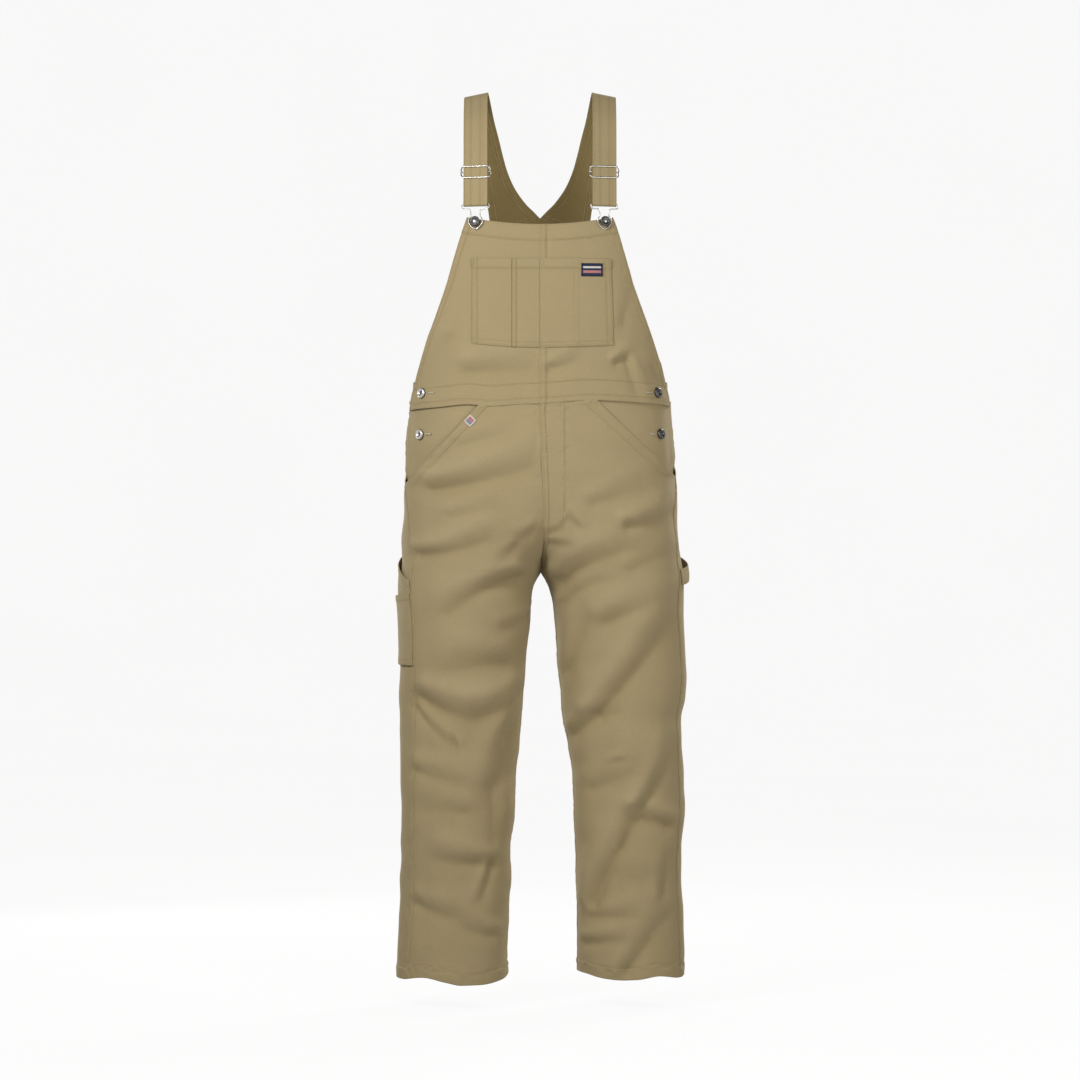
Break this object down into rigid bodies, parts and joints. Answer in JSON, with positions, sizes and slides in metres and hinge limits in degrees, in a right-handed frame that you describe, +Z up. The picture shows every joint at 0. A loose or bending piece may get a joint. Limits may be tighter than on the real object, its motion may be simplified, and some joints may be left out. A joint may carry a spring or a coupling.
{
  "type": "bib overalls",
  "caption": "Bib overalls with chest pocket, slide-adjusted straps on wire hooks, slant hip pockets, seat pockets, tool pocket and hammer loop, worn-hollow.",
  "frame": {"origin": "the mount shoulders: midway between the undersides of the two strap crests, where a wearer's shoulders or a hanger hold the garment", "axes": "+Z up the garment from hem to shoulders, +Y out of its back so the bib faces -Y, +X to the wearer's left"},
  "size_m": [0.476, 0.261, 1.4473],
  "materials": {
    "khaki_twill": "matte cotton twill",
    "nickel_wire": "polished nickel wire",
    "gunmetal": "dark plated metal",
    "silver_cap": "satin plated metal",
    "navy_label": "woven label",
    "rose_tag": "woven tag",
    "grey_reflex": "grey reflective piping"
  },
  "bodies": {
    "root": {"bib_left": "khaki_twill", "bib_right": "khaki_twill", "bib_facing": "khaki_twill", "bib_pocket_left": "khaki_twill", "bib_pocket_right": "khaki_twill", "bib_pocket_pen": "khaki_twill", "front_leg_left": "khaki_twill", "front_leg_right": "khaki_twill", "hip_facing_left": "khaki_twill", "hip_facing_right": "khaki_twill", "back_left": "khaki_twill", "back_right": "khaki_twill", "back_yoke": "khaki_twill", "strap_left": "khaki_twill", "strap_right": "khaki_twill", "back_pocket_left": "khaki_twill", "back_pocket_right": "khaki_twill", "tool_pocket": "khaki_twill", "tool_pocket_small": "khaki_twill", "hammer_loop": "khaki_twill", "slider_left": "nickel_wire", "hook_left": "nickel_wire", "bib_button_left": "gunmetal", "bib_rivet_left": "silver_cap", "side_button_back_left": "gunmetal", "reflective_trim_left": "grey_reflex", "side_button_upper_left": "gunmetal", "side_button_lower_left": "gunmetal", "slider_right": "nickel_wire", "hook_right": "nickel_wire", "bib_button_right": "gunmetal", "bib_rivet_right": "silver_cap", "side_button_back_right": "gunmetal", "reflective_trim_right": "grey_reflex", "side_button_upper_right": "silver_cap", "side_button_lower_right": "silver_cap", "bib_label": "navy_label", "pocket_tag": "rose_tag"}
  },
  "joints": []
}
